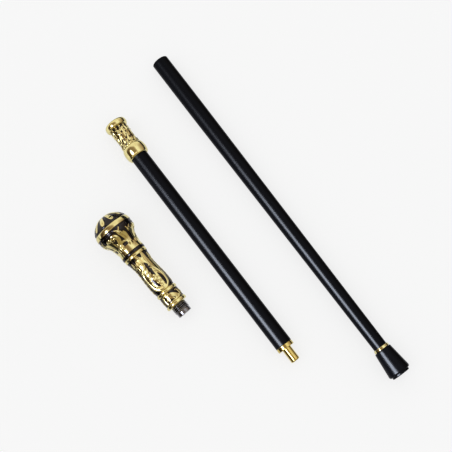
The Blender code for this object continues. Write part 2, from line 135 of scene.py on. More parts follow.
class CaneHandleSizes(bpy.types.PropertyGroup):
    stud_radius: length("Crest radius of the plated stud", 0.0092)
    stud_pitch: length("Pitch of the plated stud's thread", 0.0020)
    thread_depth: length("Depth of the plated stud's thread", 0.0008)
    thread_length: length("Length of the plated stud's thread", 0.0084)
    pilot_radius: length("Radius of the plain end of the stud", 0.0083)
    pilot_length: length("Length of the plain end of the stud", 0.0046)
    shank_radius: length("Radius of the stud inside the handle", 0.0070)
    shank_length: length("Length of the stud inside the handle", 0.0090)
    end_ring_radius: length("Radius of the ring at the shoulder", 0.01295)
    end_ring_height: length("Height of the ring at the shoulder", 0.0042)
    cuff_radius: length("Radius of the cuff above the end ring", 0.0119)
    cuff_height: length("Height of the cuff", 0.0124)
    mid_ring_radius: length("Radius of the ring above the cuff", 0.0131)
    mid_ring_height: length("Height of the ring above the cuff", 0.0040)
    grip_foot_radius: length("Radius of the grip above the middle ring", 0.0118)
    swell_radius: length("Radius of the grip's swell", 0.0128)
    waist_radius: length("Radius of the grip's waist", 0.0117)
    grip_top_radius: length("Radius of the grip under the bead", 0.0142)
    foot_to_swell: length("From the grip's foot to its swell", 0.0130)
    swell_to_waist: length("From the swell to the waist", 0.0215)
    waist_to_top: length("From the waist to the bead", 0.0141)
    bead_radius: length("Radius of the gilded bead", 0.0145)
    bead_height: length("Height of the gilded bead", 0.0040)
    roll_radius: length("Radius of the black roll", 0.0150)
    roll_height: length("Height of the black roll", 0.0042)
    neck_radius: length("Smallest radius of the neck", 0.01436)
    lip_to_neck: length("From the neck's lip to its narrowest", 0.0071)
    neck_to_equator: length("From the neck to the knob's widest circle", 0.0237)
    knob_radius: length("Radius of the knob's widest circle", 0.02295)
    crown_rise: length("From the widest circle to the pole", 0.0206)
    groove: length("Depth of the grooves beside the rings", 0.0008)


class CaneColours(bpy.types.PropertyGroup):
    gilt: tint("Polished pale gold of the castings", "EDE4AF")
    # browner gold at the edges of the gilding and in its creases: patina with painted shade
    worn_and_shaded_gilt: tint("Browner gold in the hollows of the carving", "BA9C5E")
    plating: tint("Blackened ground of the castings", "4A4748")
    brass: tint("Turned brass of the stud and its ring", "F0DC92")
    steel: tint("Dark plating of the handle's stud", "AAA8AC")
    lacquer: tint("Black lacquer of the shafts", "030304")
    moulding: tint("Black plastic of the ferrule", "040405")
    floor: tint("Pale floor", "F4F4F4")


# Mesh helpers

def arc(low, high, edge_radius, middle_radius, steps):
    """The outline of a rounded ring, from its top edge down to its lower edge."""
    middle = (low + high) / 2
    half = (high - low) / 2
    turns = [math.pi * step / steps for step in range(steps + 1)]
    swell = middle_radius - edge_radius
    return [(edge_radius + swell * math.sin(turn), middle + half * math.cos(turn)) for turn in turns]


def corner(centre_radius, centre_z, rounding, start, end, steps):
    """A rounded corner of an outline, from one angle to another, in degrees above the horizontal."""
    turns = [math.radians(start + (end - start) * step / steps) for step in range(steps + 1)]
    offsets = [(rounding * math.cos(turn), rounding * math.sin(turn)) for turn in turns]
    return [(centre_radius + out, centre_z + rise) for out, rise in offsets]


def fine(outline, step):
    """The same outline with further points, so that no stretch of it is longer than step."""
    points = [Vector((radius, 0, z)) for radius, z in outline]
    dense = []
    for start, end in zip(points, points[1:]):
        count = max(1, math.ceil((end - start).length / step))
        dense += [start.lerp(end, part / count) for part in range(count)]
    return [(point.x, point.z) for point in dense + [points[-1]]]


def turned(outline, sides, step):
    """A bmesh of the outline turned about Z."""
    shape = bmesh.new()
    points = fine(outline, step)
    verts = [shape.verts.new((radius, 0, z)) for radius, z in points]
    edges = [shape.edges.new(pair) for pair in zip(verts, verts[1:])]
    if points[0][0] > 0:
        edges.append(shape.edges.new((verts[-1], verts[0])))
    bmesh.ops.spin(
        shape, geom=verts + edges, cent=(0, 0, 0), axis=(0, 0, 1), dvec=(0, 0, 0), angle=math.tau,
        space=Matrix.Identity(4), steps=sides, use_merge=True, use_normal_flip=False, use_duplicate=False,
    )
    bmesh.ops.remove_doubles(shape, verts=shape.verts, dist=0.000002)
    bmesh.ops.recalc_face_normals(shape, faces=shape.faces)
    return shape


def to_object(shape, name, node, slot, section, sharp=32):
    """Lays the upright shape down on its section's axis as a finished piece that stands for a node."""
    bmesh.ops.transform(shape, matrix=section, verts=shape.verts)
    for vertex in shape.verts:
        vertex.co.z = max(vertex.co.z, 0.0)
    for face in shape.faces:
        face.smooth = True
    for edge in shape.edges:
        edge.smooth = edge.calc_face_angle(0.0) < math.radians(sharp)
    mesh = bpy.data.meshes.new(name)
    shape.to_mesh(mesh)
    shape.free()
    mesh.materials.append(finish_of(slot))
    piece = bpy.data.objects.new(name, mesh)
    bpy.context.scene.collection.objects.link(piece)
    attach(piece, "root")
    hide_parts(node)
    return piece


def section_matrix(mount, node):
    """Takes a section from upright to where its node lies. The mount faces out of its lower end."""
    facts = [entry for entry in frame["record"]["mounts"] if entry["name"] == mount][0]
    along = -Vector(facts["axis"]).normalized()
    points = [vertex.co for vertex in frame["nodes"][node].data.vertices]
    lowest = min(point.dot(along) for point in points)
    low_points = [point for point in points if point.dot(along) < lowest + GAP / 10]
    rim = [Vector(end) for end in {tuple(round(part, 6) for part in point) for point in low_points}]
    middle = sum(rim, Vector()) / len(rim)
    up = (Vector((0, 0, 1)) - along * along.z).normalized()
    across = along.cross(-up)
    turn = Matrix((-up, across, along)).transposed().to_4x4()
    return Matrix.Translation(middle) @ turn


# Carving

class Carving:
    """Ornament on an upright turned shape: how far each point stands out, and how gilded it is.

    gild is 0 on the blackened ground, 1 on the gold, and 0.5 on the outline between them.
    """

    BLUR = 0.6                # millimetres over which gild goes from 0 to 1

    def __init__(self, shape, base, outline, outer):
        shape.verts.ensure_lookup_table()
        shape.normal_update()
        places = numpy.array([vertex.co for vertex in shape.verts]) / MM
        self.shape = shape
        self.angle = numpy.arctan2(-places[:, 1], -places[:, 0])
        self.radius = numpy.hypot(places[:, 0], places[:, 1])
        self.height = places[:, 2] - base / MM
        points = sorted(((z - base) / MM, radius / MM) for radius, z in outline)
        heights = numpy.array([z for z, _ in points])
        radii = numpy.array([radius for _, radius in points])
        steps = numpy.hypot(numpy.diff(heights), numpy.diff(radii))
        self.heights = heights
        self.lengths = numpy.concatenate(([0], numpy.cumsum(steps)))
        self.along = numpy.interp(self.height, self.heights, self.lengths)
        self.outer = outer(self.radius, self.height)
        self.lift = numpy.zeros(len(places))
        self.gild = numpy.ones(len(places))

    def ground(self, low, high, gild=0.0, lift=0.0):
        """Covers a band between two heights with ground, or with gold where gild is 1."""
        inside = numpy.minimum(self.height - low, high - self.height)
        share = numpy.clip(0.5 + inside / self.BLUR, 0, 1) * self.outer
        self.gild += (gild - self.gild) * share
        self.lift += (lift - self.lift) * share

    def stroke(self, points, lift, gild=1.0, turn=0.0, flat=0.0):
        """A raised gilded stroke, or with gild 0 a sunk black one.

        Each point is (degrees, height, half-width). flat is the share of the width that is level on top.
        """
        smooth = curve(points)
        places = numpy.interp([z for _, z, _ in smooth], self.heights, self.lengths)
        path = [(math.radians(a + turn), place, w) for (a, _, w), place in zip(smooth, places)]
        widest = max(w for _, _, w in path) + self.BLUR
        low = min(s for _, s, _ in path) - widest
        high = max(s for _, s, _ in path) + widest
        near = numpy.nonzero((self.along > low) & (self.along < high) & (self.outer > 0))[0]
        middle = path[len(path) // 2][0]
        off = (self.angle[near] - middle + math.pi) % math.tau - math.pi
        reach = max(abs(a - middle) for a, _, _ in path)
        close = numpy.abs(off) * self.radius[near] < reach * self.radius[near] + widest
        near = near[close]
        off = off[close]
        radius = self.radius[near]
        along = self.along[near]
        inside = numpy.full(len(near), -9.0)
        share = numpy.full(len(near), 9.0)
        for (a0, s0, w0), (a1, s1, w1) in zip(path, path[1:]):
            u = radius * (off - (a0 - middle))
            v = along - s0
            du = radius * (a1 - a0)
            dv = s1 - s0
            part = numpy.clip((u * du + v * dv) / (du * du + dv * dv + 1e-9), 0, 1)
            away = numpy.hypot(u - part * du, v - part * dv)
            width = w0 + (w1 - w0) * part
            inside = numpy.maximum(inside, width - away)
            share = numpy.minimum(share, away / width)
        cover = numpy.clip(0.5 + inside / self.BLUR, 0, 1)
        rounded = numpy.clip((1 - share) / (1 - flat), 0, 1)
        rise = 0.5 - 0.5 * numpy.cos(math.pi * rounded)
        if gild > 0.5:
            self.gild[near] = numpy.maximum(self.gild[near], cover * gild)
            self.lift[near] = numpy.maximum(self.lift[near], lift * rise)
        else:
            self.gild[near] = numpy.minimum(self.gild[near], 1 - cover * (1 - gild))
            self.lift[near] = numpy.minimum(self.lift[near], -lift * rise)

    def draw(self, rows, turn, gild=1.0):
        """Makes strokes in order. Each row is a stroke's lift, followed by its points."""
        for lift, *points in rows:
            self.stroke(points, lift, gild, turn)

    def crease(self, points, depth, turn=0.0):
        """A fine line pressed into the gold, which stays gilded but goes browner: patina with painted shade.
        """
        kept = self.gild.copy()
        self.stroke(points, depth, 0.0, turn)
        # painted shade with patina: gild drops part of the way in the crease, so the material browns the gold
        # there
        self.gild = kept - 0.30 * (kept - self.gild) * (kept > 0.5)

    def press(self, rows, turn):
        """Makes creases in order. Each row is a crease's depth, followed by its points."""
        for depth, *points in rows:
            self.crease(points, depth, turn)

    def apply(self):
        """Moves the shape's points along their normals, and returns the gild of each in order."""
        lifts = numpy.where(self.outer > 0, self.lift, 0.0) * MM
        moves = [vertex.normal * float(lift) for vertex, lift in zip(self.shape.verts, lifts)]
        for vertex, move in zip(self.shape.verts, moves):
            vertex.co += move
        return numpy.where(self.outer > 0, self.gild, 1.0)


def curve(points, parts=4):
    """A smooth curve through the points of a stroke."""
    if len(points) < 3:
        return points
    rows = [numpy.array(point, float) for point in points]
    rows = [2 * rows[0] - rows[1]] + rows + [2 * rows[-1] - rows[-2]]
    smooth = []
    for p0, p1, p2, p3 in zip(rows, rows[1:], rows[2:], rows[3:]):
        for part in range(parts):
            t = part / parts
            bend = (2 * p0 - 5 * p1 + 4 * p2 - p3) * t * t + (3 * p1 - p0 - 3 * p2 + p3) * t * t * t
            smooth.append(tuple(0.5 * (2 * p1 + (p2 - p0) * t + bend)))
    smooth.append(tuple(rows[-2]))
    return smooth


def keep_values(piece, name, values):
    """Stores one number for each point of the piece, for its material to read."""
    layer = piece.data.attributes.new(name, "FLOAT", "POINT")
    layer.data.foreach_set("value", numpy.asarray(values, dtype=numpy.float32))


def spiral(angle, height, size, start, turns, width):
    """A scroll that winds in from its rim. size is its radius in millimetres, start its rim's direction."""
    points = []
    count = max(5, round(abs(turns) * 9))
    for step in range(count + 1):
        share = step / count
        reach = size * (1 - 0.82 * share)
        way = math.radians(start) + math.tau * turns * share
        spread = math.degrees(reach * math.cos(way) / 11.5)
        points.append((angle + spread, height + reach * math.sin(way), width * (1 - 0.35 * share)))
    return points


# Materials

def add(tree, kind, inputs=None, **settings):
    """Adds a node with its settings. Each input gets a socket to link from, or its own value."""
    node = tree.nodes.new(kind)
    for key, value in settings.items():
        if key == "stops":
            elements = node.color_ramp.elements
            while len(elements) < len(value):
                elements.new(1.0)
            for element, (position, shade) in zip(elements, value):
                element.position = position
                element.color = (*shade, 1.0)
        else:
            setattr(node, key, value)
    for key, value in (inputs or {}).items():
        socket = node.inputs[key]
        if isinstance(value, bpy.types.NodeSocket):
            tree.links.new(value, socket)
        else:
            socket.default_value = value
    return node


def mapped(tree, value, low, high, to_low=0.0, to_high=1.0, smooth=False):
    """The value carried from one range to another and held at its ends. smooth eases it in and out."""
    inputs = {"Value": value, "From Min": low, "From Max": high, "To Min": to_low, "To Max": to_high}
    kind = "SMOOTHSTEP" if smooth else "LINEAR"
    return add(tree, "ShaderNodeMapRange", inputs, interpolation_type=kind).outputs["Result"]


def worked(tree, operation, *values):
    """The result of a mathematical operation on the values."""
    return add(tree, "ShaderNodeMath", dict(enumerate(values)), operation=operation).outputs[0]


def mixed(tree, factor, first, second):
    """The first colour where the factor is 0, and the second where it is 1."""
    shades = [shade if isinstance(shade, bpy.types.NodeSocket) else (*shade, 1) for shade in (first, second)]
    inputs = {"Factor": factor, 6: shades[0], 7: shades[1]}
    return add(tree, "ShaderNodeMix", inputs, data_type="RGBA").outputs[2]


def noise_of(tree, grain_mm, detail=2.0, stretch=None):
    """The factor of a noise whose grain is this many millimetres, stretched where stretch says so."""
    place = add(tree, "ShaderNodeTexCoord").outputs["Object"]
    if stretch:
        place = add(tree, "ShaderNodeMapping", {"Vector": place, "Scale": stretch}).outputs[0]
    inputs = {"Vector": place, "Scale": 1 / (grain_mm * MM), "Detail": detail}
    return add(tree, "ShaderNodeTexNoise", inputs).outputs["Fac"]


def surface(tree, shader, colour, grain, smoothest, roughest):
    """Gives the shader its colour, and a roughness that follows the grain."""
    tree.links.new(colour, shader.inputs["Base Color"])
    tree.links.new(mapped(tree, grain, 0.0, 1.0, smoothest, roughest), shader.inputs["Roughness"])


def dented(tree, shader, height, strength, distance):
    """Tilts the shader's normal by a height that varies over the surface."""
    inputs = {"Height": height, "Strength": strength, "Distance": distance}
    tree.links.new(add(tree, "ShaderNodeBump", inputs).outputs["Normal"], shader.inputs["Normal"])


def scaled(colour, share):
    """The colour made darker by a share below 1, or paler by one above it."""
    return tuple(share * part for part in colour)


def gilded_casting(tree, shader, colours):
    """Zinc alloy cast in a mould, plated black, gilded on its raised parts and polished.

    The gold is pale and bright, and browner at its edges and in its creases: patina where the polish didn't
    reach, with painted shade. Its black ground still mirrors.
    """
    gild = add(tree, "ShaderNodeAttribute", attribute_name="gild").outputs["Fac"]
    gilded = mapped(tree, gild, 0.40, 0.60, smooth=True)
    # painted shade with patina: the gold browns where its gild falls, at its edges and in creases
    patina_and_shade = mapped(tree, gild, 0.5, 1.0, 0.85, 0.0)
    stain = mapped(tree, noise_of(tree, 3.5), 0.40, 0.75, 0.0, 0.30)
    gold = mixed(tree, worked(tree, "ADD", patina_and_shade, stain), colours.gilt, colours.worn_and_shaded_gilt)
    colour = mixed(tree, gilded, colours.plating, gold)
    surface(tree, shader, colour, noise_of(tree, 0.8, 3.0), 0.08, 0.17)
    dented(tree, shader, noise_of(tree, 1.6, 1.0), 0.15, 0.00006)


def turned_brass(tree, shader, colours):
    """Brass bar turned on a lathe: warm yellow, with fine tool lines round it."""
    lines = noise_of(tree, 0.35, 2.0, (1.0, 0.05, 0.05))
    colour = mixed(tree, lines, colours.brass, scaled(colours.brass, 0.7))
    surface(tree, shader, colour, lines, 0.12, 0.22)
    dented(tree, shader, lines, 0.2, 0.00003)


def plated_steel(tree, shader, colours):
    """Steel with a machined thread under dark bright plating, with painted shade in the thread's roots."""
    plating = mixed(tree, noise_of(tree, 2.0), colours.steel, scaled(colours.steel, 0.55))
    root = add(tree, "ShaderNodeAttribute", attribute_name="root").outputs["Fac"]
    # painted shade: the thread's roots go almost black
    colour = mixed(tree, root, plating, (0.012, 0.011, 0.010))
    surface(tree, shader, colour, noise_of(tree, 0.3, 3.0), 0.16, 0.30)


def lacquered_beech(tree, shader, colours):
    """Beech sprayed with black gloss lacquer and rubbed down: deep black, one soft streak of light."""
    pores = noise_of(tree, 0.6, 2.0, (0.06, 1.0, 1.0))
    colour = mixed(tree, pores, colours.lacquer, scaled(colours.lacquer, 1.6))
    surface(tree, shader, colour, noise_of(tree, 4.0), 0.27, 0.30)


def moulded_plastic(tree, shader, colours):
    """ABS moulded in black with a polished mould: gloss with a faint waviness."""
    wave = noise_of(tree, 4.0)
    colour = mixed(tree, wave, colours.moulding, scaled(colours.moulding, 1.8))
    surface(tree, shader, colour, wave, 0.24, 0.28)
    dented(tree, shader, wave, 0.05, 0.0001)


FINISHES = {
    "gilded_casting": ("Gilded casting over black plating", gilded_casting, {"Metallic": 1.0}),
    "turned_brass": ("Turned brass", turned_brass, {"Metallic": 1.0}),
    "plated_steel": ("Machined steel under dark plating", plated_steel, {"Metallic": 1.0}),
    "black_lacquer": ("Black lacquer on beech", lacquered_beech, {"IOR": 1.45, "Specular IOR Level": 0.12}),
    "moulded_ferrule": ("Moulded black ABS", moulded_plastic, {"IOR": 1.53, "Specular IOR Level": 0.10}),
}


def finish_of(slot):
    """The material of a slot, made the first time it is asked for."""
    name, build, sockets = FINISHES[slot]
    material = bpy.data.materials.get(name)
    if not material:
        material = bpy.data.materials.new(name)
        material.use_nodes = True
        tree = material.node_tree
        shader = tree.nodes["Principled BSDF"]
        for key, value in sockets.items():
            shader.inputs[key].default_value = value
        build(tree, shader, bpy.context.scene.cane_colours)
    return material


# Outlines

def eased(start, end, share):
    """From start to end along an S-curve."""
    return start + (end - start) * (0.5 - 0.5 * math.cos(math.pi * share))


def lower_radius(sizes, depth):
    """The lower shaft's radius at this depth below its top rim."""
    share = max(0.0, depth - sizes.straight_top) / (sizes.lower_shown - sizes.straight_top)
    return sizes.radius + (sizes.foot_radius - sizes.radius) * share


def grip_radius(size, z, at):
    """The grip narrows from its top to a waist, swells below it and draws in to its foot."""
    if z >= at["waist"]:
        share = (z - at["waist"]) / size.waist_to_top
        return size.waist_radius + (size.grip_top_radius - size.waist_radius) * share * share
    if z >= at["swell"]:
        share = (z - at["swell"]) / size.swell_to_waist
        return eased(size.swell_radius, size.waist_radius, share)
    share = (at["swell"] - z) / size.foot_to_swell
    return size.swell_radius + (size.grip_foot_radius - size.swell_radius) * share * share


def knob_radius(size, z, at):
    """An ellipse over the widest circle, and an S-curve below it that ends in the flaring neck."""
    if z >= at["equator"]:
        rise = min(1.0, (z - at["equator"]) / size.crown_rise)
        return size.knob_radius * math.sqrt(1 - rise * rise)
    if z >= at["neck"]:
        share = (z - at["neck"]) / size.neck_to_equator
        return eased(size.neck_radius, size.knob_radius, share)
    share = (at["neck"] - z) / size.lip_to_neck
    return size.neck_radius + (size.roll_radius - size.neck_radius) * share * share


def handle_heights(size):
    """Where the handle's rings and swellings start, above its shoulder."""
    at = {"cuff": size.end_ring_height}
    at["mid_ring"] = at["cuff"] + size.cuff_height
    at["grip"] = at["mid_ring"] + size.mid_ring_height
    at["swell"] = at["grip"] + size.foot_to_swell
    at["waist"] = at["swell"] + size.swell_to_waist
    at["bead"] = at["waist"] + size.waist_to_top
    at["roll"] = at["bead"] + size.bead_height
    at["lip"] = at["roll"] + size.roll_height
    at["neck"] = at["lip"] + size.lip_to_neck
    at["equator"] = at["neck"] + size.neck_to_equator
    at["pole"] = at["equator"] + size.crown_rise
    return at


def handle_outline(size, at):
    """The handle's outer outline, from its pole down to the outer edge of its shoulder."""
    crown = [math.radians(1.5 * step) for step in range(61)]
    outline = [(size.knob_radius * math.sin(t), at["equator"] + size.crown_rise * math.cos(t)) for t in crown]
    rows = 60
    drop = at["equator"] - at["lip"]
    heights = [at["equator"] - drop * row / rows for row in range(1, rows + 1)]
    outline += [(knob_radius(size, z, at), z) for z in heights]
    outline += arc(at["roll"], at["lip"], size.roll_radius - size.groove, size.roll_radius, 14)
    outline += arc(at["bead"], at["roll"], size.bead_radius - size.groove, size.bead_radius, 14)
    fall = at["bead"] - at["grip"]
    heights = [at["bead"] - fall * row / rows for row in range(rows + 1)]
    outline += [(grip_radius(size, z, at), z) for z in heights]
    outline += arc(at["mid_ring"], at["grip"], size.cuff_radius, size.mid_ring_radius, 14)
    outline += arc(0, at["cuff"], size.cuff_radius, size.end_ring_radius, 14)
    return outline


# Ornament. A row is a stroke's lift, then its points: degrees, millimetres up the axis, half-width in mm

BUTTON_LOW = 128.45           # the gold button at the pole starts here
PETALS = 10
PETAL_TURN = -19.0            # degrees from the upper side to the nearest petal
BAND_LOW = 108.5              # the knob's smooth band, in millimetres above the shoulder
BAND_HIGH = 114.3
LEAF_FOOT = 85.6              # the leaves leave the neck here
LEAF_TURN = -28.0
LEAVES = (False, True, True, False, True, False, True, True, False, True)    # True is a forked stem
SHORTER_STEMS = (2, 7)
SCROLLS = 6
SCROLL_TURN = -24.0           # degrees from the upper side to the first scroll

PALMETTE = (
    (0.8, (-8.0, 101.4, 0.9), (-15.6, 101.0, 1.7), (-19.6, 98.5, 2.4), (-17.6, 94.8, 2.9),
     (-12.8, 90.8, 3.0), (-9.0, 85.6, 3.6)),
    (0.5, (-14.5, 98.0, 0.8), (-9.5, 99.0, 0.9), (-6.0, 96.8, 0.7)),
    (0.8, (1.5, 102.0, 0.8), (11.0, 101.4, 1.6), (16.6, 98.8, 2.2), (16.2, 95.4, 2.4),
     (11.4, 92.3, 2.3), (4.5, 89.6, 2.6), (1.0, 85.0, 3.2)),
    (0.6, (-3.0, 91.6, 1.4), (-3.5, 89.0, 2.6), (-4.0, 85.6, 3.6)),
    (0.5, (6.0, 89.8, 1.6), (20.0, 90.8, 1.3), (34.0, 90.2, 1.2), (44.0, 89.6, 1.4)),
    (0.5, (11.0, 97.6, 0.9), (5.5, 99.0, 1.1), (1.0, 97.0, 0.8)),
    (0.6, (-10.0, 101.2, 1.0), (-4.0, 99.4, 1.4), (2.5, 101.6, 1.0)),
)
PALMETTE_CREASES = (
    (0.1, (-17.5, 97.6, 0.3), (-16.0, 93.6, 0.5), (-11.0, 89.0, 0.3)),
    (0.1, (14.6, 97.2, 0.3), (13.0, 93.8, 0.5), (5.5, 90.0, 0.3)),
)
MEDALLION_DARKS = (
    (0.5, (-33, 70.0, 2.9), (-34, 66.4, 2.2), (-34.5, 63.2, 0.6)),
    (0.5, (-19, 68.4, 0.9), (-21, 65.4, 0.5)),
    (0.5, (7, 70.0, 2.6), (10, 67.6, 1.8), (12, 65.2, 0.5)),
    (0.5, (38, 70.0, 2.2), (42, 66.5, 1.7), (44, 60.0, 0.6)),
    (0.5, (5.0, 57.8, 0.7), (8.5, 54.4, 1.9), (7.0, 50.0, 2.3), (4.0, 45.4, 2.0), (7.0, 40.4, 1.0)),
    (0.5, (-24, 38.4, 0.6), (-20.5, 35.4, 1.5), (-18, 31.8, 1.7), (-12, 28.6, 1.3), (-6.5, 27.0, 0.5)),
    (0.5, (25, 40.0, 0.6), (29.5, 36.2, 1.6), (30.5, 31.8, 1.9), (28, 28.0, 1.7), (23, 25.0, 0.7)),
)
MEDALLION_FRAME = (
    (0.52, (-24.6, 55.4, 0.9), (-42, 51.0, 1.3), (-53.0, 45.4, 1.6), (-52.5, 36.6, 1.8),
     (-46, 28.2, 1.8), (-27.8, 23.3, 1.6), (-5.0, 21.6, 1.4), (19.8, 22.2, 1.4), (40.4, 26.2, 1.5),
     (47.6, 32.8, 1.5), (46, 38.4, 1.3), (40.9, 43.4, 1.1), (32, 49.4, 0.9), (27.7, 55.6, 0.6)),
)
FILIGREE = (
    (0.5, (13.5, 52.8, 0.5), (19.5, 53.6, 0.7), (23.5, 51.0, 0.7), (19, 49.0, 0.6), (12, 50.2, 0.5)),
    (0.5, (-6, 56.2, 0.7), (-16, 53.6, 1.1), (-28, 50.0, 1.2), (-40, 47.6, 0.7)),
    (0.5, (-5, 51.4, 0.6), (-14, 48.4, 1.1), (-26, 46.0, 1.1), (-38, 44.8, 0.6)),
    (0.5, (-5, 45.8, 0.6), (-14, 43.9, 0.9), (-24, 41.2, 1.0), (-34, 37.6, 0.7)),
    (0.5, (14, 45.2, 0.6), (24, 42.6, 0.9), (33, 41.6, 0.6)),
    (0.45, (-35, 34.6, 0.6), (-32, 31.0, 0.9), (-26, 28.0, 0.9), (-17, 25.8, 0.6)),
    (0.5, (1, 41.2, 0.7), (9, 38.2, 0.9), (16, 36.7, 0.8), (20, 33.7, 0.5)),
)
FILIGREE_CURLS = (            # as spiral takes them
    (2, 36.7, 2.0, 90, 1.2, 0.6),
    (13, 31.6, 1.9, 200, -1.2, 0.6),
    (4, 27.0, 1.6, 60, 1.1, 0.55),
)
FILIGREE_DOTS = ((-6, 31.2), (19, 27.2), (-2, 61.5), (24, 46.7), (-10, 38.7))
FILIGREE_LINES = (            # degrees, lower end and upper end
    (-38, 53.0, 62.5), (-21, 55.5, 64.5), (3, 58.5, 65.0), (22, 57.5, 66.0), (34, 52.0, 60.0),
)
CUFF_LEAVES = (
    (0.5, (-50, 5.8, 1.4), (-52, 10.0, 1.5), (-48, 14.4, 1.4)),
    (0.5, (-48, 14.8, 1.1), (-30, 15.6, 1.0), (-10, 15.8, 0.9)),
    (0.6, (-34, 14.6, 1.1), (-14, 13.8, 1.7), (6, 12.0, 2.1), (24, 9.4, 2.1), (42, 6.6, 1.5)),
    (0.5, (-40, 5.2, 0.9), (-10, 5.2, 1.1), (30, 5.2, 1.1), (52, 5.8, 0.9)),
    (0.5, (50, 6.2, 1.0), (54, 9.8, 1.1), (49, 13.6, 0.9), (39, 13.8, 0.6)),
    (0.6, (-38, 8.4, 1.4), (-24, 10.2, 2.1), (-9, 9.8, 1.7), (6, 7.4, 0.9)),
)
CUFF_CREASES = (
    (0.2, (-36, 8.4, 0.25), (-20, 10.3, 0.45), (-2, 8.8, 0.25)),
    (0.2, (-26, 14.3, 0.25), (4, 12.3, 0.5), (34, 8.0, 0.25)),
)
COLLAR_SCROLL = (
    (0.7, (-14, 16.8, 1.4), (-22, 20.6, 1.8), (-17, 25.2, 2.0), (-4, 29.2, 2.1), (6, 33.6, 1.9),
     (2, 37.6, 1.4), (-6, 38.8, 0.9)),
    (0.6, (8, 17.0, 1.2), (16, 21.6, 1.7), (18, 27.0, 1.9), (14, 31.4, 1.6), (9, 35.0, 0.9)),
    (0.6, (-12, 28.6, 0.9), (-20, 32.2, 1.7), (-22, 36.0, 1.6), (-14, 39.0, 0.9)),
    (0.6, (12, 35.4, 1.0), (22, 36.4, 1.5), (29, 39.2, 0.9)),
    (0.5, (5, 25.6, 0.8), (11, 26.8, 1.1), (17, 25.4, 0.8)),
    (0.5, (28, 27.0, 0.8), (30, 29.6, 1.1), (26, 32.0, 0.8)),
    (0.5, (-8, 16.2, 0.9), (3, 16.0, 1.0), (12, 16.2, 0.8)),
    (0.5, (20, 16.4, 0.9), (27, 17.6, 1.1), (32, 16.4, 0.9)),
)
COLLAR_DOTS = ((-8, 33.6, 1.1), (4, 40.6, 1.2), (-27, 41.0, 1.0), (27, 22.4, 0.9), (-5, 26.4, 0.8))
COLLAR_PITS = (
    (-11, 23.6, 0.9), (11, 30.4, 0.8), (-14, 31.6, 0.8), (3, 24.0, 0.7), (23, 24.6, 0.8), (16, 38.6, 0.8),
)
COLLAR_CREASES = (
    (0.3, (-20, 21.0, 0.25), (-12, 26.6, 0.45), (4, 32.0, 0.3)),
    (0.25, (16, 22.6, 0.25), (16.5, 28.4, 0.45), (13, 32.5, 0.25)),
    (0.25, (-19, 32.8, 0.2), (-20.5, 36.0, 0.4), (-16, 38.0, 0.2)),
)


def carve_crown(work):
    """Ten petals with a slit each on a black ground, from a button at the pole to a smooth gold band."""
    above = 140
    work.ground(BAND_HIGH, above, 0.0, -0.45)
    work.ground(BUTTON_LOW, above, 1.0, 0.3)
    blade = [(0, 119.0, 2.1), (0, 120.6, 2.75), (0, 123.0, 2.6), (0, 125.4, 2.1), (0, 127.2, 1.4)]
    blade += [(0, 128.3, 0.8)]
    for petal in range(PETALS):
        turn = PETAL_TURN + 360 / PETALS * petal
        work.stroke(blade, 0.35, turn=turn, flat=0.3)
        work.crease([(0, 119.4, 0.3), (0.8, 121.2, 0.75), (0.8, 122.8, 0.3)], -0.05, turn)


def forked_stem(drop):
    """The strokes of a stem whose fork ends this many millimetres lower than the longest stem's."""
    fork = 102.2 - drop
    bend = 99.8 - drop / 2
    return (
        (0.5, (-7.5, bend, 1.1), (-3.0, fork + 0.4, 1.2), (3.8, fork + 3.4, 0.7)),
        (0.7, (2.5, 98.2, 1.4), (-5.0, fork, 1.2), (-12.4, fork + 2.8, 0.7)),
        (0.8, (-6.8, fork, 1.6), (-2.6, bend, 2.4), (6.0, 94.2, 2.7), (11.5, 88.6, 2.7), (12.5, 84.5, 3.2)),
        (0.6, (9.5, bend - 0.8, 0.8), (13.5, 96.4, 1.3), (16.0, 92.0, 1.4), (16.5, 87.0, 1.8)),
    )


def carve_leaves(work):
    """Curling palmettes and forked stems, by turns, that rise from the neck on a black ground."""
    work.ground(LEAF_FOOT, BAND_LOW, 0.0, -0.5)
    for leaf, forked in enumerate(LEAVES):
        turn = LEAF_TURN + 360 / len(LEAVES) * leaf
        if forked:
            drop = 3.4 if leaf in SHORTER_STEMS else 0.0
            work.draw(forked_stem(drop), turn)
            work.crease([(-1.5, 98.6 - drop / 2, 0.3), (7.2, 93.6, 0.6), (11.8, 88.0, 0.3)], 0.1, turn)
        else:
            work.draw(PALMETTE, turn)
            work.press(PALMETTE_CREASES, turn)


def carve_grip(work):
    """A long framed medallion with filigree on the upper and lower sides, between strips of chevrons."""
    work.ground(20.9, 69.4, 0.0, -0.4)
    for side in (0.0, 180.0):
        panel = [(4, 64.0, 11.8), (3, 56.0, 12.6), (4, 46.0, 12.6), (3, 36.0, 12.0), (1, 29.5, 9.4)]
        work.stroke(panel + [(0, 25.0, 4.6)], 0.0, turn=side, flat=0.9)
        for a, z, w in ((-50, 66.6, 1.9), (-13, 68.2, 2.4), (24, 68.4, 1.7), (58, 66.4, 1.8)):
            work.stroke([(a, 60.0, w + 1.8), (a, z - 2.2, w), (a, z, 0.6)], 0.25, turn=side, flat=0.4)
        work.draw(MEDALLION_DARKS, side, 0.0)
        work.draw(MEDALLION_FRAME, side)
        carve_filigree(work, side)
    for side in (94.0, 274.0):
        for edge in (-19.0, 19.0):
            work.stroke([(side + edge, 23.5, 0.5), (side + edge, 44.0, 0.6), (side + edge, 65.0, 0.5)], 0.3)
        for row in range(8):
            z = 25.0 + 5.0 * row
            for way in (-1, 1):
                chevron = [(side + 11 * way, z, 0.5), (side + 4 * way, z + 2.4, 0.9), (side, z + 3.4, 0.6)]
                work.stroke(chevron, 0.4)


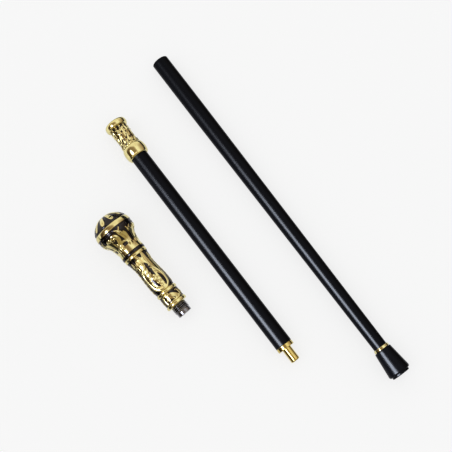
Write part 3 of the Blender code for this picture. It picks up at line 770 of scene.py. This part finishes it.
def carve_filigree(work, side):
    """Scrolls, leaves and creases inside the grip's medallion."""
    work.draw(FILIGREE, side)
    for curl in FILIGREE_CURLS:
        work.stroke(spiral(*curl), 0.5, turn=side)
    for a, z in FILIGREE_DOTS:
        work.stroke([(a, z - 0.2, 0.8), (a, z + 0.2, 0.8)], 0.45, turn=side)
    for a, z0, z1 in FILIGREE_LINES:
        work.crease([(a, z0, 0.3), (a - 1.5, (z0 + z1) / 2, 0.55), (a, z1, 0.3)], 0.2, side)
    for a, z0, z1 in ((-57, 44.0, 60.0), (58, 40.0, 61.0)):
        work.crease([(a, z0, 0.25), (a, (z0 + z1) / 2, 0.5), (a, z1, 0.25)], 0.15, side)


def carve_cuff(work):
    """A cartouche with a slanting leaf band on the upper and lower sides of a black cuff."""
    work.ground(4.3, 16.5, 0.0, -0.35)
    for side in (0.0, 180.0):
        work.draw(CUFF_LEAVES, side)
        work.press(CUFF_CREASES, side)
        work.stroke([(14, 6.8, 0.6), (24, 6.8, 0.6)], 0.4, turn=side)
    for side in (90.0, 270.0):
        work.stroke(spiral(side - 9, 10.4, 2.9, 90, 1.3, 0.9), 0.45)
        work.stroke([(side + 8, 6.2, 0.7), (side + 15, 10.0, 1.1), (side + 8, 14.4, 0.7)], 0.45)
        work.stroke([(side - 24, 7.0, 0.6), (side - 21, 10.0, 0.9), (side - 24, 13.6, 0.6)], 0.4)


def carve_collar(work):
    """Six leaning scrolls with curled ends and leaves, close together on a black ground."""
    work.ground(15.4, 42.3, 0.0, -0.35)
    for unit in range(SCROLLS):
        turn = SCROLL_TURN + 360 / SCROLLS * unit
        work.draw(COLLAR_SCROLL, turn)
        work.stroke(spiral(0, 21.5, 2.4, 250, -1.25, 0.85), 0.75, turn=turn)
        for a, z, w in COLLAR_DOTS:
            work.stroke([(a, z - 0.2, w), (a, z + 0.2, w)], 0.75, turn=turn)
        for a, z, w in COLLAR_PITS:
            work.stroke([(a, z - 0.4, w), (a + 1, z + 0.4, w)], 0.1, 0.0, turn)
        work.press(COLLAR_CREASES, turn)


# Pieces

class CANE_OT_handle(bpy.types.Operator):
    """Make the gilded knob handle"""

    bl_idname = "cane.handle"
    bl_label = "Handle"

    def execute(self, context):
        size = context.scene.cane_handle
        at = handle_heights(size)
        shoulder = size.pilot_length + size.thread_length + GAP
        outer = [(radius, z + shoulder) for radius, z in handle_outline(size, at)]
        mouth = size.stud_radius + THREAD_CLEARANCE
        bore = size.shank_radius + GAP
        seat = shoulder + size.shank_length + 2 * GAP
        inner = [(mouth, shoulder), (bore, shoulder + mouth - bore), (bore, seat), (0, seat)]
        shape = turned(fine(outer, 0.00058) + inner, 260, math.inf)

        def carved(radius, height):
            return (height > 0.02) & (radius > 11.0) | (height > 30.0)

        work = Carving(shape, shoulder, outer, carved)
        carve_crown(work)
        carve_leaves(work)
        carve_grip(work)
        carve_cuff(work)
        rings = (("grip", "mid_ring", 1.0), ("roll", "bead", 1.0), ("lip", "roll", 0.0))
        for above, below, gold in rings:
            work.ground((at[below] + GAP) / MM, (at[above] - GAP) / MM, gold)
        gild = work.apply()
        section = section_matrix("handle_stud_end", "handle_stud")
        piece = to_object(shape, "gilded_handle", "handle", "gilded_casting", section, 60)
        keep_values(piece, "gild", gild)
        return {"FINISHED"}


class CANE_OT_handle_stud(bpy.types.Operator):
    """Make the plated stud that screws the handle into the collar"""

    bl_idname = "cane.handle_stud"
    bl_label = "Handle stud"

    def execute(self, context):
        size = context.scene.cane_handle
        thread_top = size.pilot_length + size.thread_length
        shank_top = thread_top + GAP + size.shank_length
        root = size.stud_radius - size.thread_depth / 2
        edge = 0.0006
        outline = [(0, shank_top), (size.shank_radius, shank_top), (size.shank_radius, thread_top)]
        outline += [(root - edge, thread_top), (root, thread_top - edge), (root, size.pilot_length + edge)]
        outline += [(size.pilot_radius, size.pilot_length - edge / 2)]
        outline += corner(size.pilot_radius - edge, edge, edge, 0, -90, 4) + [(0, 0)]
        shape = turned(outline, 128, 0.00025)
        shape.normal_update()
        moves = []
        for vertex in shape.verts:
            x, y, z = vertex.co
            turn = (z / size.stud_pitch - math.atan2(-y, -x) / math.tau) % 1.0
            ridge = max(-1.0, min(1.0, 1.5 * (1 - 4 * abs(turn - 0.5))))
            run_in = min(1.0, (z - size.pilot_length) / size.stud_pitch, (thread_top - z) / size.stud_pitch)
            on_thread = math.hypot(x, y) > root - edge / 2
            moves.append(0.5 * size.thread_depth * ridge * max(0.0, run_in) if on_thread else 0.0)
        for vertex, move in zip(shape.verts, moves):
            vertex.co += Vector((vertex.co.x, vertex.co.y, 0)).normalized() * move
        section = section_matrix("handle_stud_end", "handle_stud")
        piece = to_object(shape, "plated_stud", "handle_stud", "plated_steel", section, 40)
        # root darkens the thread's roots in the material: painted shade
        keep_values(piece, "root", [max(0.0, -2 * move / size.thread_depth) for move in moves])
        return {"FINISHED"}


class CANE_OT_collar(bpy.types.Operator):
    """Make the gilded collar at the top of the upper shaft"""

    bl_idname = "cane.collar"
    bl_label = "Collar"

    def execute(self, context):
        size = context.scene.cane_collar
        handle = context.scene.cane_handle
        shafts = context.scene.cane_shafts
        foot = shafts.stud_length + shafts.joint_ring + GAP + shafts.upper_shown
        body = foot + size.bulge_height
        groove = body + size.body_height
        ring = groove + size.groove_height
        top = ring + size.ring_height
        outer = arc(ring, top, size.rim_radius, size.ring_radius, 30)
        outer += [(size.groove_radius, ring), (size.groove_radius, groove), (size.body_radius, groove)]
        outer += [(size.body_radius, body)] + arc(foot, body, size.bulge_foot_radius, size.bulge_radius, 40)
        mouth = handle.stud_radius + THREAD_CLEARANCE
        mouth_floor = top - handle.thread_length - handle.pilot_length - BORE_RUN_OUT
        inner = [(shafts.radius + GAP, foot), (shafts.radius + GAP, foot + size.seat + GAP)]
        inner += [(0, foot + size.seat + GAP)]
        above = [(0, mouth_floor), (mouth, mouth_floor)]
        above += [(mouth, top - shafts.edge), (mouth + shafts.edge, top)]
        shape = turned(above + outer + inner, 240, 0.0004)

        def carved(radius, height):
            return (radius > 10.35) & (height > 15.3) & (height < 42.3)

        work = Carving(shape, foot, outer, carved)
        carve_collar(work)
        gild = work.apply()
        section = section_matrix("joint_stud_end", "joint_fitting")
        piece = to_object(shape, "gilded_collar", "collar", "gilded_casting", section, 60)
        keep_values(piece, "gild", gild)
        return {"FINISHED"}


class CANE_OT_shafts(bpy.types.Operator):
    """Make the two lacquered shafts"""

    bl_idname = "cane.shafts"
    bl_label = "Shafts"

    def execute(self, context):
        size = context.scene.cane_shafts
        ferrule = context.scene.cane_ferrule
        collar = context.scene.cane_collar
        low = size.stud_length + size.joint_ring + GAP
        top = low + size.upper_shown + collar.seat
        bore = size.spigot_radius + GAP
        bore_top = low + size.spigot_length + 2 * GAP
        outline = [(0, top)] + corner(size.radius - size.edge, top - size.edge, size.edge, 90, 0, 5)
        outline += corner(size.radius - GAP, low + GAP, GAP, 0, -90, 3)
        outline += [(bore, low), (bore, bore_top), (0, bore_top)]
        section = section_matrix("joint_stud_end", "joint_fitting")
        shape = turned(outline, 96, 0.004)
        to_object(shape, "lacquered_upper_shaft", "upper_shaft", "black_lacquer", section)

        foot = ferrule.tip_height + ferrule.height - ferrule.seat
        whole = size.lower_shown + ferrule.ring_height + 2 * GAP + ferrule.seat
        rim = foot + whole
        socket = size.stud_radius + THREAD_CLEARANCE
        socket_floor = rim - size.stud_length - BORE_RUN_OUT
        foot_radius = lower_radius(size, whole)
        bevel = size.edge / 2
        outline = [(0, socket_floor), (socket, socket_floor)]
        outline += corner(socket + bevel, rim - bevel, bevel, 180, 90, 4)
        outline += corner(size.radius - size.edge, rim - size.edge, size.edge, 90, 0, 5)
        outline += [(size.radius, rim - size.straight_top), (foot_radius, foot + size.edge)]
        outline += [(foot_radius - size.edge, foot), (0, foot)]
        section = section_matrix("ferrule_tip", "ferrule")
        shape = turned(outline, 96, 0.004)
        to_object(shape, "lacquered_lower_shaft", "lower_shaft", "black_lacquer", section)
        return {"FINISHED"}


class CANE_OT_joint_fitting(bpy.types.Operator):
    """Make the brass ring and stud that join the two shafts"""

    bl_idname = "cane.joint_fitting"
    bl_label = "Joint fitting"

    def execute(self, context):
        size = context.scene.cane_shafts
        ring = size.stud_length
        top = ring + size.joint_ring
        edge = 0.0003
        crest = 0.00002           # half the height of the thread's ridges
        root = size.stud_radius - 0.00007
        nose = 0.0016             # rounding of the stud's end
        run_in = 0.002
        run_out = 0.001
        outline = [(0, top + size.spigot_length), (size.spigot_radius, top + size.spigot_length)]
        outline += [(size.spigot_radius, top)] + corner(size.radius - edge, top - edge, edge, 90, 0, 3)
        outline += corner(size.radius - edge, ring + edge, edge, 0, -90, 3)
        outline += [(root, ring)] + corner(root - nose, nose, nose, 0, -90, 8) + [(0, 0)]
        shape = turned(outline, 96, 0.00016)
        for vertex in shape.verts:
            x, y, z = vertex.co
            if math.hypot(x, y) > root - 0.75 * nose and z < ring - edge:
                turn = (z / size.stud_pitch - math.atan2(-y, -x) / math.tau) % 1.0
                fade = min(1.0, z / run_in, (ring - z) / run_out)
                move = crest * fade * (1 - 4 * abs(turn - 0.5))
                vertex.co += Vector((x, y, 0)).normalized() * move
        section = section_matrix("joint_stud_end", "joint_fitting")
        to_object(shape, "brass_fitting", "joint_fitting", "turned_brass", section, 50)
        return {"FINISHED"}


class CANE_OT_ferrule(bpy.types.Operator):
    """Make the ferrule and its gilded ring"""

    bl_idname = "cane.ferrule"
    bl_label = "Ferrule"

    def execute(self, context):
        size = context.scene.cane_ferrule
        shafts = context.scene.cane_shafts
        top = size.tip_height + size.height
        bore = lower_radius(shafts, shafts.lower_shown) + GAP
        seat = top - size.seat - GAP
        edge = 0.0008
        lean = 6
        rounding = size.rounding
        outline = [(0, seat), (bore, seat), (bore, top)]
        outline += corner(size.top_radius - edge, top - edge, edge, 90, 0, 4)
        outline += corner(size.foot_radius - rounding, size.tip_height + rounding, rounding, lean, -90, 8)
        outline += [(size.tip_radius, size.tip_height)]
        outline += corner(size.tip_radius - edge, edge, edge, 0, -90, 4)
        section = section_matrix("ferrule_tip", "ferrule")
        shape = turned(outline + [(0, 0)], 96, 0.002)
        to_object(shape, "moulded_ferrule", "ferrule", "moulded_ferrule", section)

        low = top + GAP
        high = low + size.ring_height
        edge = 0.0004
        outline = [(bore, high)] + corner(size.ring_top_radius - edge, high - edge, edge, 90, 0, 4)
        outline += corner(size.ring_foot_radius - edge, low + edge, edge, 0, -90, 4) + [(bore, low)]
        shape = turned(outline, 96, 0.0008)
        piece = to_object(shape, "gilded_ferrule_ring", "ferrule_ring", "gilded_casting", section)
        keep_values(piece, "gild", [1.0] * len(piece.data.vertices))
        return {"FINISHED"}


# Stage

CAMERA_PLACE = (-0.1819, 0.1155, 1.0025)
CAMERA_TARGET = (0.0210, -0.03175, 0.0)
CAMERA_UP = (0.7834, -0.5725, 0.2419)
BOX_TURN = math.radians(-42)  # where the soft box stands round the sections' axes, from straight up
FRONT_TURN = math.radians(-41)    # where the pale front of the studio reaches farthest
BOX_TINT = (0.80, 0.87, 1.0)
SCREEN_TINT = (0.95, 0.95, 0.90)


class CANE_OT_stage(bpy.types.Operator):
    """Make the floor, the studio light and the camera"""

    bl_idname = "cane.stage"
    bl_label = "Stage"

    def execute(self, context):
        make_floor()
        make_world()
        make_sun()
        black = ("lacquered_upper_shaft", "lacquered_lower_shaft", "moulded_ferrule")
        make_long_light("black pieces", black, 0.95, 235.0)
        make_long_light("screw studs", ("brass_fitting", "plated_stud"), 0.36, 3.0)
        make_camera()
        context.scene.view_settings.view_transform = "Standard"
        context.scene.view_settings.gamma = CONTRAST
        return {"FINISHED"}


def make_floor():
    """A pale floor, partly lit from within so that shadows on it stay faint. In reflections it shows a
    painted reflection instead: dark where it is seen at a low slant, white where seen steeply and in a patch
    at +X and +Y.
    """
    shape = bmesh.new()
    bmesh.ops.create_grid(shape, x_segments=1, y_segments=1, size=12.0)
    mesh = bpy.data.meshes.new("floor")
    shape.to_mesh(mesh)
    shape.free()
    floor = bpy.data.objects.new("floor", mesh)
    bpy.context.scene.collection.objects.link(floor)
    colour = (*bpy.context.scene.cane_colours.floor, 1)
    material = bpy.data.materials.new("Pale studio floor")
    material.use_nodes = True
    tree = material.node_tree
    tree.nodes.clear()
    matt = add(tree, "ShaderNodeBsdfDiffuse", {"Color": (0.16, 0.16, 0.16, 1)}).outputs[0]
    glow = add(tree, "ShaderNodeEmission", {"Color": colour, "Strength": 0.87}).outputs[0]
    lit = add(tree, "ShaderNodeAddShader", {0: matt, 1: glow}).outputs[0]
    # painted reflection: what polished pieces mirror of the floor, dark at a low slant, white steeply and in
    # one patch
    facing = add(tree, "ShaderNodeLayerWeight", {"Blend": 0.5}).outputs["Facing"]
    fades = mapped(tree, facing, 0.52, 0.74, 0.85, 0.03, smooth=True)
    place = add(tree, "ShaderNodeTexCoord").outputs["Object"]
    spot = add(tree, "ShaderNodeSeparateXYZ", {0: place}).outputs
    ahead = mapped(tree, spot["X"], 0.10, 0.14)
    abreast = mapped(tree, spot["Y"], 0.02, 0.05)
    seen = worked(tree, "MAXIMUM", fades, worked(tree, "MULTIPLY", ahead, abreast))
    mirrored = add(tree, "ShaderNodeEmission", {"Color": (1, 1, 1, 1), "Strength": seen}).outputs[0]
    ray = add(tree, "ShaderNodeLightPath").outputs["Is Glossy Ray"]
    both = add(tree, "ShaderNodeMixShader", {0: ray, 1: lit, 2: mirrored}).outputs[0]
    add(tree, "ShaderNodeOutputMaterial", {"Surface": both})
    mesh.materials.append(material)


def within(tree, value, middle, full, none):
    """1 where the value is within full of the middle, falling to 0 where it is none away from it."""
    off = worked(tree, "ABSOLUTE", worked(tree, "SUBTRACT", value, middle))
    return mapped(tree, off, none, full, smooth=True)


def studio_walls(tree, along, turn):
    """What polished surfaces mirror apart from the lights: warm walls, a pale front and a brown back."""
    walls = (
        (-100, 0.04), (-88, 0.08), (-72, 0.14), (-58, 0.24), (-20, 0.36), (-8, 0.42), (3, 0.47), (9, 0.70),
        (15, 1.10), (36, 1.12), (54, 0.74), (66, 0.62), (78, 0.54), (86, 0.36), (93, 0.07), (100, 0.04),
    )
    stops = []
    for degrees, level in walls:
        warmth = min(1.0, level)
        shade = (level, level * (0.62 + 0.38 * warmth), level * (0.30 + 0.68 * warmth))
        stops.append((0.5 + degrees / 360, shade))
    place = mapped(tree, turn, -math.pi, math.pi)
    sides = add(tree, "ShaderNodeValToRGB", {0: place}, stops=stops).outputs[0]
    off = worked(tree, "ABSOLUTE", worked(tree, "SUBTRACT", turn, FRONT_TURN))
    near = worked(tree, "MINIMUM", off, 0.8)
    slant = worked(tree, "MULTIPLY_ADD", worked(tree, "MULTIPLY", near, near), 0.35, along)
    fronted = mixed(tree, mapped(tree, slant, 0.55, 0.80, smooth=True), sides, (1.0, 0.97, 0.90))
    return mixed(tree, mapped(tree, along, -0.45, -0.65, smooth=True), fronted, (0.52, 0.45, 0.30))


def soft_box(tree, along, turn):
    """A narrow bright core in a wider glow, in a strip that fades out both ways along the sections."""
    nearer = mapped(tree, along, 0.40, 0.0)
    strip = worked(tree, "MULTIPLY", nearer, mapped(tree, along, -0.22, -0.08, smooth=True))
    core = within(tree, turn, BOX_TURN, math.radians(2.5), math.radians(8))
    around = within(tree, turn, BOX_TURN, math.radians(8), math.radians(19))
    box = worked(tree, "MULTIPLY", worked(tree, "MULTIPLY_ADD", core, 8.0, around), strip)
    lit_box = {0: BOX_TINT, "Scale": worked(tree, "MULTIPLY", box, 1.8)}
    return add(tree, "ShaderNodeVectorMath", lit_box, operation="SCALE").outputs[0]


def pale_screen(tree, along, turn):
    """A wide, pale screen round the soft box's direction, short along the sections."""
    wide = within(tree, turn, math.radians(-35), math.radians(32), math.radians(44))
    panel = worked(tree, "MULTIPLY", wide, within(tree, along, -0.32, 0.06, 0.14))
    lit_screen = {0: SCREEN_TINT, "Scale": panel}
    return add(tree, "ShaderNodeVectorMath", lit_screen, operation="SCALE").outputs[0]


def make_world():
    """An even white dome, in which polished surfaces mirror a darker studio with a soft box and a screen.

    The direction round the sections' axes counts from straight up towards -Y.
    """
    world = bpy.data.worlds.new("studio")
    bpy.context.scene.world = world
    world.use_nodes = True
    tree = world.node_tree
    tree.nodes.clear()
    way = add(tree, "ShaderNodeTexCoord").outputs["Generated"]
    parts = add(tree, "ShaderNodeSeparateXYZ", {0: way}).outputs
    along = parts["X"]
    turn = worked(tree, "ARCTAN2", worked(tree, "MULTIPLY", parts["Y"], -1.0), parts["Z"])
    lamps = {0: soft_box(tree, along, turn), 1: pale_screen(tree, along, turn)}
    lights = add(tree, "ShaderNodeVectorMath", lamps, operation="ADD").outputs[0]
    both = {0: studio_walls(tree, along, turn), 1: lights}
    mirrored = add(tree, "ShaderNodeVectorMath", both, operation="ADD").outputs[0]
    ray = add(tree, "ShaderNodeLightPath").outputs["Is Glossy Ray"]
    colour = mixed(tree, ray, (0.9, 0.9, 0.9), mirrored)
    background = add(tree, "ShaderNodeBackground", {"Color": colour}).outputs[0]
    add(tree, "ShaderNodeOutputWorld", {"Surface": background})


def make_sun():
    """A weak, wide lamp from the +Y side that draws the faint shadows."""
    lamp = bpy.data.lights.new("side light", "SUN")
    lamp.energy = 0.35
    lamp.angle = math.radians(35)
    sun = bpy.data.objects.new("side light", lamp)
    sun.rotation_euler = Vector((0.15, 0.75, 1.0)).to_track_quat("Z", "Y").to_euler()
    sun.visible_glossy = False
    bpy.context.scene.collection.objects.link(sun)


def make_long_light(title, names, breadth, energy):
    """A long soft box beside the shafts, which draws one streak of light along each of the named pieces."""
    lamp = bpy.data.lights.new("soft box for the " + title, "AREA")
    lamp.shape = "RECTANGLE"
    lamp.size = 1.26
    lamp.size_y = breadth
    lamp.energy = energy
    lamp.color = BOX_TINT
    lamp.diffuse_factor = 0.0
    box = bpy.data.objects.new("soft box for the " + title, lamp)
    bpy.context.scene.collection.objects.link(box)
    along = -0.27             # its middle along the sections
    distance = 1.6
    slope = math.radians(41)
    place = Vector((along, distance * math.sin(slope), distance * math.cos(slope)))
    box.matrix_world = Matrix.Translation(place) @ Matrix.Rotation(-slope, 4, "X")
    pieces = bpy.data.collections.new(title)
    for name in names:
        pieces.objects.link(bpy.data.objects[name])
    box.light_linking.receiver_collection = pieces


def make_camera():
    """The photograph's view: nearly from above, with the sections slanting down to the right."""
    place = Vector(CAMERA_PLACE)
    ahead = (Vector(CAMERA_TARGET) - place).normalized()
    right = ahead.cross(Vector(CAMERA_UP)).normalized()
    data = bpy.data.cameras.new("camera")
    data.sensor_width = SENSOR_MM
    data.lens = FOCAL_PIXELS / IMAGE_SIDE * SENSOR_MM
    data.clip_start = 0.01
    camera = bpy.data.objects.new("camera", data)
    turn = Matrix((right, right.cross(ahead), -ahead)).transposed().to_4x4()
    camera.matrix_world = Matrix.Translation(place) @ turn
    bpy.context.scene.collection.objects.link(camera)
    bpy.context.scene.camera = camera


class CANE_PT_panel(bpy.types.Panel):
    """Lists the cane's pieces"""

    bl_label = "Walking cane"
    bl_idname = "CANE_PT_panel"
    bl_space_type = "VIEW_3D"
    bl_region_type = "UI"
    bl_category = "Cane"

    def draw(self, context):
        column = self.layout.column()
        for operator in OPERATORS:
            column.operator(operator.bl_idname)
        for name in GROUPS:
            group = getattr(context.scene, name)
            for key in group.bl_rna.properties.keys():
                if key not in ("rna_type", "name"):
                    column.prop(group, key, text=key.replace("_", " ").capitalize())


OPERATORS = (
    CANE_OT_handle,
    CANE_OT_handle_stud,
    CANE_OT_collar,
    CANE_OT_shafts,
    CANE_OT_joint_fitting,
    CANE_OT_ferrule,
    CANE_OT_stage,
)
GROUPS = {
    "cane_shafts": CaneShaftSizes,
    "cane_ferrule": CaneFerruleSizes,
    "cane_collar": CaneCollarSizes,
    "cane_handle": CaneHandleSizes,
    "cane_colours": CaneColours,
}


def register():
    for kind in (*GROUPS.values(), *OPERATORS, CANE_PT_panel):
        bpy.utils.register_class(kind)
    for name, group in GROUPS.items():
        setattr(bpy.types.Scene, name, bpy.props.PointerProperty(type=group))


def unregister():
    for name in GROUPS:
        delattr(bpy.types.Scene, name)
    for kind in (CANE_PT_panel, *reversed(OPERATORS), *reversed(tuple(GROUPS.values()))):
        bpy.utils.unregister_class(kind)


def main():
    register()
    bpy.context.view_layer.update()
    bpy.ops.cane.handle()
    bpy.ops.cane.handle_stud()
    bpy.ops.cane.collar()
    bpy.ops.cane.shafts()
    bpy.ops.cane.joint_fitting()
    bpy.ops.cane.ferrule()
    bpy.ops.cane.stage()


if __name__ == "__main__":
    main()
